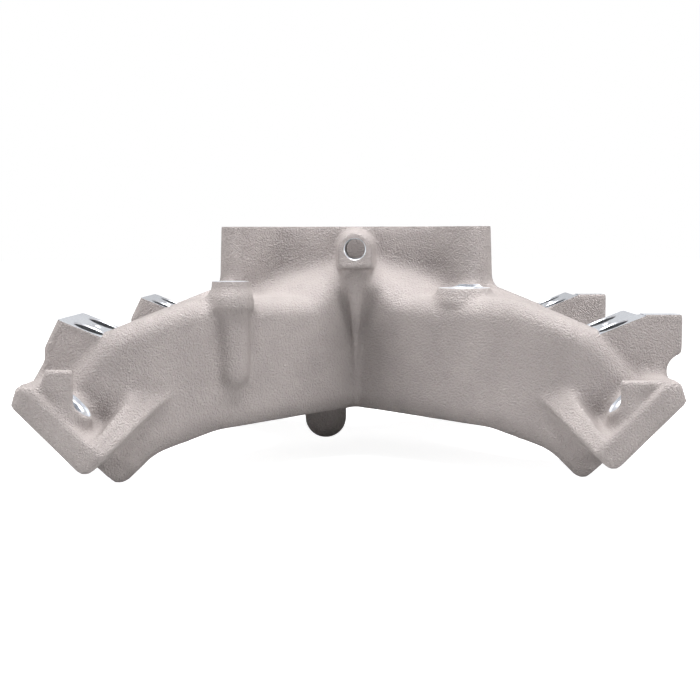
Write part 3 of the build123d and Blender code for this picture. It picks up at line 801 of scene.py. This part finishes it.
for group in (faced, recessed, holes):
    body = carve(body, together(group), "DIFFERENCE")

# ------------------------------------------------------------------ one closed piece for each CAD node
# A cell follows its section's limits where two sections meet, and runs clear of the casting elsewhere.
# The odd tenths keep its sides off the flat faces of the casting.
pieces = {}
BELOW, ABOVE = -170.3, 20.3


def take(source, cells):
    """Moves the parts of a mesh inside separate cells into pieces of their own, and returns the rest."""
    tools = together(list(cells.values()))
    parts = carve(source, tools, "INTERSECT")
    for name, cell in cells.items():
        pieces[name] = carve(parts, cell, "INTERSECT") if len(cells) > 1 else parts
    return carve(source, tools, "DIFFERENCE")


def upright(outline, low, high, bank=1):
    return prism(outline, low, high, lambda u, v, w: (bank * u, bank * v, w), joint)


body = take(body, {"vacuum_boss": block((-13.1, -97, -25.1), (13.1, -60.7, -0.3), joint)})
rib_cell = [(-100.3, -25.1), (-100.3, -112.7), (-72.7, -112.7), (-72.7, -27.3), (-70.1, -25.1)]
body = take(body, {
    "front_seam_rib": prism(rib_cell, -5.7, 5.7, lambda u, v, w: (w, u, v), joint),
    "sensor_post": turned((*sensor_centre, -97.3), (0, 0, 1), [(0, 13.9), (70, 13.9)], joint),
    "pipe_boss": turned((*pipe_centre, -42.3), (0, 0, 1), [(0, 19.7), (10, 16.95)], joint),
    "underside_boss": turned((*under_centre, -113.4), (0, 0, -1), [(0, 15.3), (30, 15.3)], joint),
    "carburettor_flange": block((-90.3, -90.3, -25.4), (90.3, 90.3, 0.7), joint),
})
body = take(body, {"plenum_shoulder": block((-90.3, -100.3, -41.7), (90.3, 100.3, -25.3), joint)})
body = take(body, {"plenum_chamber": block((-60.1, -150.3, -150.3), (60.1, 150.3, 10.3), joint)})
for bank, bank_name in ((1, "right"), (-1, "left")):
    half = [(0.3, -230.3), (230.3, -230.3), (230.3, 230.3), (0.3, 230.3)]
    rest = carve(body, upright(half, BELOW, ABOVE, bank), "INTERSECT")
    small, pads = {}, {}
    for end in (-1, 1):
        end_name = {1: "rear", -1: "front"}[end * bank]
        middle = end * PAIR_Y + STAGGER
        low, high = sorted((middle + end * (PAIR_HALF + 0.3), middle + end * 90.3))
        outline = head_block(-20.3, 120.3, 131.3, 200.3)
        small[f"end_lug_{bank_name}_{end_name}"] = along_y(outline, low, high, joint, bank)
        if bank > 0:
            outline = [
                (163.2, -40.3), (163.2, -51.3), (170.7, -66.1), (170.7, -73.3),
                (176.4, -83.2), (176.6, -84.3), (200.3, -84.3), (200.3, -40.3),
            ]
            post_cell = along_y(outline, middle - 33.7, middle - 14.1, joint, bank)
            small[f"bracket_post_{bank_name}_{end_name}"] = post_cell
        outline = [
            beside_head(48.7, 140.7), beside_head(54.7, 140.3), (CREASE[0] - 0.3, -40.3), (200.3, -40.3),
            beside_head(58.3, 200.3), beside_head(58.3, 177.7), beside_head(48.7, 177.7),
        ]
        pad_cell = along_y(outline, middle - 32.9, middle + 32.9, joint, bank)
        pads[f"injector_pad_{bank_name}_{end_name}"] = pad_cell
    rest = take(rest, small)
    rest = take(rest, pads)
    for end, end_name in ((-1, "front" if bank > 0 else "rear"), (1, "rear" if bank > 0 else "front")):
        low, high = sorted((STAGGER + end * (PAIR_Y - PAIR_HALF - 0.3), STAGGER + end * 250.3))
        flange_cell = along_y(head_block(-30.3, 90.3, 177.5, 200.3), low, high, joint, bank)
        rest = take(rest, {f"head_flange_{bank_name}_{end_name}": flange_cell})
    outline = head_block(21.3, 52.9, 163.5, 200.3)
    low, high = STAGGER - PAIR_Y + PAIR_HALF, STAGGER + PAIR_Y - PAIR_HALF
    rest = take(rest, {f"head_rail_{bank_name}": along_y(outline, low - 0.5, high + 0.5, joint, bank)})
    low_half = [(30.3, -230.3), (230.3, -230.3), (230.3, STAGGER + 0.1), (30.3, STAGGER + 0.1)]
    low_name, high_name = ("front", "rear") if bank > 0 else ("rear", "front")
    for place in ("inner", "outer"):
        zone = upright(divider_plan, BELOW, ABOVE, bank)
        runners = carve(rest, zone, "INTERSECT" if place == "inner" else "DIFFERENCE")
        low_cell = {f"runner_{bank_name}_{low_name}_{place}": upright(low_half, BELOW, ABOVE, bank)}
        pieces[f"runner_{bank_name}_{high_name}_{place}"] = take(runners, low_cell)


# ------------------------------------------------------------------ normals and riding
def field_normals(where):
    """Outward directions of the casting's field at points in millimetres."""
    index = np.clip((where - ORIGIN) / VOXEL, 1, np.array(casting.shape) - 3)
    base = index.astype(int)
    part = (index - base).astype(np.float32)
    total = np.zeros((len(where), 3), np.float32)
    for corner in np.ndindex(2, 2, 2):
        weight = np.prod(np.where(corner, part, 1 - part), axis=1)
        i, j, k = (base + corner).T
        slope = np.stack([
            casting[i + 1, j, k] - casting[i - 1, j, k],
            casting[i, j + 1, k] - casting[i, j - 1, k],
            casting[i, j, k + 1] - casting[i, j, k - 1],
        ], axis=1)
        total += slope * weight[:, None]
    return total / np.maximum(np.linalg.norm(total, axis=1), 1e-6)[:, None]


for name, mesh in pieces.items():
    vertex_count, loop_count = len(mesh.vertices), len(mesh.loops)
    where = np.empty(vertex_count * 3, np.float32)
    mesh.vertices.foreach_get("co", where)
    where = where.reshape(-1, 3)
    smooth = field_normals(where)
    loop_vertex = np.empty(loop_count, np.int32)
    mesh.loops.foreach_get("vertex_index", loop_vertex)
    sizes = np.empty(len(mesh.polygons), np.int32)
    mesh.polygons.foreach_get("loop_total", sizes)
    flat = np.empty(len(mesh.polygons) * 3, np.float32)
    mesh.polygons.foreach_get("normal", flat)
    flat = np.repeat(flat.reshape(-1, 3), sizes, axis=0)
    slots = [material.name for material in mesh.materials]
    index = np.empty(len(mesh.polygons), np.int32)
    mesh.polygons.foreach_get("material_index", index)
    cast_faces = np.array([slot.startswith("cast") for slot in slots])[index]
    on_cast = np.repeat(cast_faces, sizes)
    normals = np.where(on_cast[:, None], smooth[loop_vertex], flat)
    mesh.polygons.foreach_set("use_smooth", np.ones(len(mesh.polygons), bool))
    mesh.normals_split_custom_set(normals.tolist())
    # Slot 2 is the darkened machined metal: painted shade in the holes.
    kinds = np.array([
        1 if slot.startswith("machined") else 2 if slot.startswith("drilled") else 0 for slot in slots
    ])
    mesh.materials.clear()
    for material in (cast, machined, drilled):
        mesh.materials.append(material)
    mesh.polygons.foreach_set("material_index", kinds[index].astype(np.int32))
    mesh.transform(Matrix.Scale(0.001, 4))
    mesh.name = name
    piece = bpy.data.objects.new(name, mesh)
    bpy.context.scene.collection.objects.link(piece)
    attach(piece, "root")
    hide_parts(name)
    print(name, len(mesh.polygons), [round(c * 1000, 1) for c in piece.dimensions])

# ------------------------------------------------------------------ camera
camera_data = bpy.data.cameras.new("camera")
camera = bpy.data.objects.new("camera", camera_data)
bpy.context.scene.collection.objects.link(camera)
bpy.context.scene.camera = camera
camera_data.sensor_width = 36.0
camera_data.lens = 65.4
yaw, pitch, roll = 0.0249, 0.0905, 0.0025
forward = Vector((-math.sin(yaw) * math.cos(pitch), math.cos(yaw) * math.cos(pitch), -math.sin(pitch)))
level = forward.cross(Vector((0, 0, 1))).normalized()
right = level * math.cos(roll) + forward.cross(level) * math.sin(roll)
up = right.cross(forward)
place = Vector((0.01595, -0.85703, -0.00497))
camera.matrix_world = Matrix((
    (right.x, up.x, -forward.x, place.x),
    (right.y, up.y, -forward.y, place.y),
    (right.z, up.z, -forward.z, place.z),
    (0, 0, 0, 1),
))

# ------------------------------------------------------------------ floor and light
floor_mesh = bpy.data.meshes.new("floor")
floor_half = 6.0
floor_z = cad_low.z - 0.0005
signs = ((-1, -1), (1, -1), (1, 1), (-1, 1))
floor_mesh.from_pydata([(x * floor_half, y * floor_half, floor_z) for x, y in signs], [], [(0, 1, 2, 3)])
floor_object = bpy.data.objects.new("floor", floor_mesh)
bpy.context.scene.collection.objects.link(floor_object)
floor_material, nodes, links, shader = node_material("studio_floor")
shader.inputs["Base Color"].default_value = (0.45, 0.45, 0.45, 1)
shader.inputs["Roughness"].default_value = 0.9
shader.inputs["Emission Color"].default_value = (1, 1, 1, 1)
seen = nodes.new("ShaderNodeLightPath")
glow = nodes.new("ShaderNodeMath")
glow.operation = "MULTIPLY"
glow.inputs[1].default_value = 0.9
links.new(seen.outputs["Is Camera Ray"], glow.inputs[0])
links.new(glow.outputs[0], shader.inputs["Emission Strength"])
floor_mesh.materials.append(floor_material)

world = bpy.data.worlds.new("studio")
bpy.context.scene.world = world
world.use_nodes = True
nodes, links = world.node_tree.nodes, world.node_tree.links
backdrop = nodes["Background"]
backdrop.inputs["Color"].default_value = (1, 1, 1, 1)
seen = nodes.new("ShaderNodeLightPath")
strength = nodes.new("ShaderNodeMapRange")
strength.inputs["To Min"].default_value = 0.27
strength.inputs["To Max"].default_value = 1.0
links.new(seen.outputs["Is Camera Ray"], strength.inputs["Value"])
links.new(strength.outputs["Result"], backdrop.inputs["Strength"])
bpy.context.scene.view_settings.view_transform = "Standard"


def soft_light(name, place, aim, width, height, power):
    data = bpy.data.lights.new(name, "AREA")
    data.shape = "RECTANGLE"
    data.size, data.size_y = width, height
    data.energy = power
    lamp = bpy.data.objects.new(name, data)
    bpy.context.scene.collection.objects.link(lamp)
    lamp.location = place
    lamp.rotation_mode = "QUATERNION"
    lamp.rotation_quaternion = (Vector(aim) - Vector(place)).to_track_quat("-Z", "Y")


soft_light("top_light", (0.05, -0.1, 1.1), (0, 0, 0), 0.9, 0.9, 32)
soft_light("right_light", (1.2, -0.6, 0.3), (0, 0, -0.08), 0.5, 0.6, 10.5)
soft_light("left_light", (-1.2, -0.6, 0.25), (0, 0, -0.08), 0.5, 0.6, 10.5)
